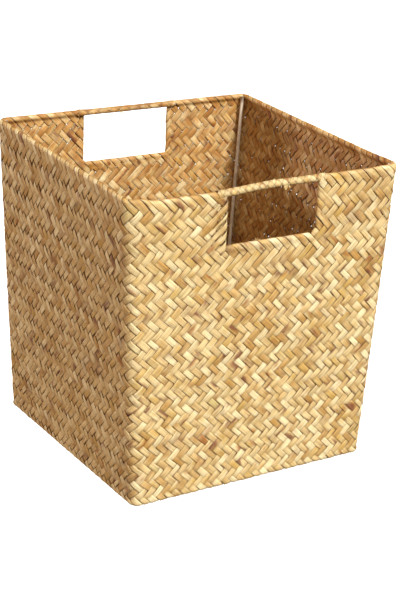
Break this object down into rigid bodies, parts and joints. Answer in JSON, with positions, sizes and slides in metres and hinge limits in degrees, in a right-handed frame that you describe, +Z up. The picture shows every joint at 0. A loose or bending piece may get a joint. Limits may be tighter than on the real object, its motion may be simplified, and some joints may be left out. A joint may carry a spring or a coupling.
{
  "type": "storage basket",
  "caption": "Square tapered seagrass storage basket, plaited in a diagonal twill over a wire frame, with a wrapped hand-hold in two opposite walls.",
  "frame": {"origin": "middle of the underside of the base, on the surface that the basket stands on", "axes": "+Z up; +Y from the front wall to the back wall, the two walls with a hand-hold; +X to the right when facing the front wall"},
  "size_m": [0.32, 0.3224, 0.3409],
  "materials": {
    "seagrass_skin": "dry plaited grass strips, satin on every second strip and matt on the rest",
    "seagrass_border": "folded grass strips, satin, slightly worn on the crown",
    "seagrass_braid": "narrow braided grass strips, satin",
    "frame_wire": "grey-brown painted steel wire, semi-matt"
  },
  "bodies": {
    "root": {"woven_base": "seagrass_skin", "wall_front": "seagrass_skin", "wall_back": "seagrass_skin", "wall_left": "seagrass_skin", "wall_right": "seagrass_skin", "corner_fold_front_left": "seagrass_skin", "corner_fold_front_right": "seagrass_skin", "corner_fold_back_left": "seagrass_skin", "corner_fold_back_right": "seagrass_skin", "rim_border_front": "seagrass_border", "rim_border_back": "seagrass_border", "rim_border_left": "seagrass_border", "rim_border_right": "seagrass_border", "rim_corner_front_left": "seagrass_border", "rim_corner_front_right": "seagrass_border", "rim_corner_back_left": "seagrass_border", "rim_corner_back_right": "seagrass_border", "handle_wrap_front": "seagrass_braid", "handle_wrap_back": "seagrass_braid", "sill_hem_front": "seagrass_border", "sill_hem_back": "seagrass_border", "side_hems_front": "seagrass_border", "side_hems_back": "seagrass_border", "rim_wire": "frame_wire", "base_wire": "frame_wire", "post_front_left": "frame_wire", "post_front_right": "frame_wire", "post_back_left": "frame_wire", "post_back_right": "frame_wire"}
  },
  "joints": []
}
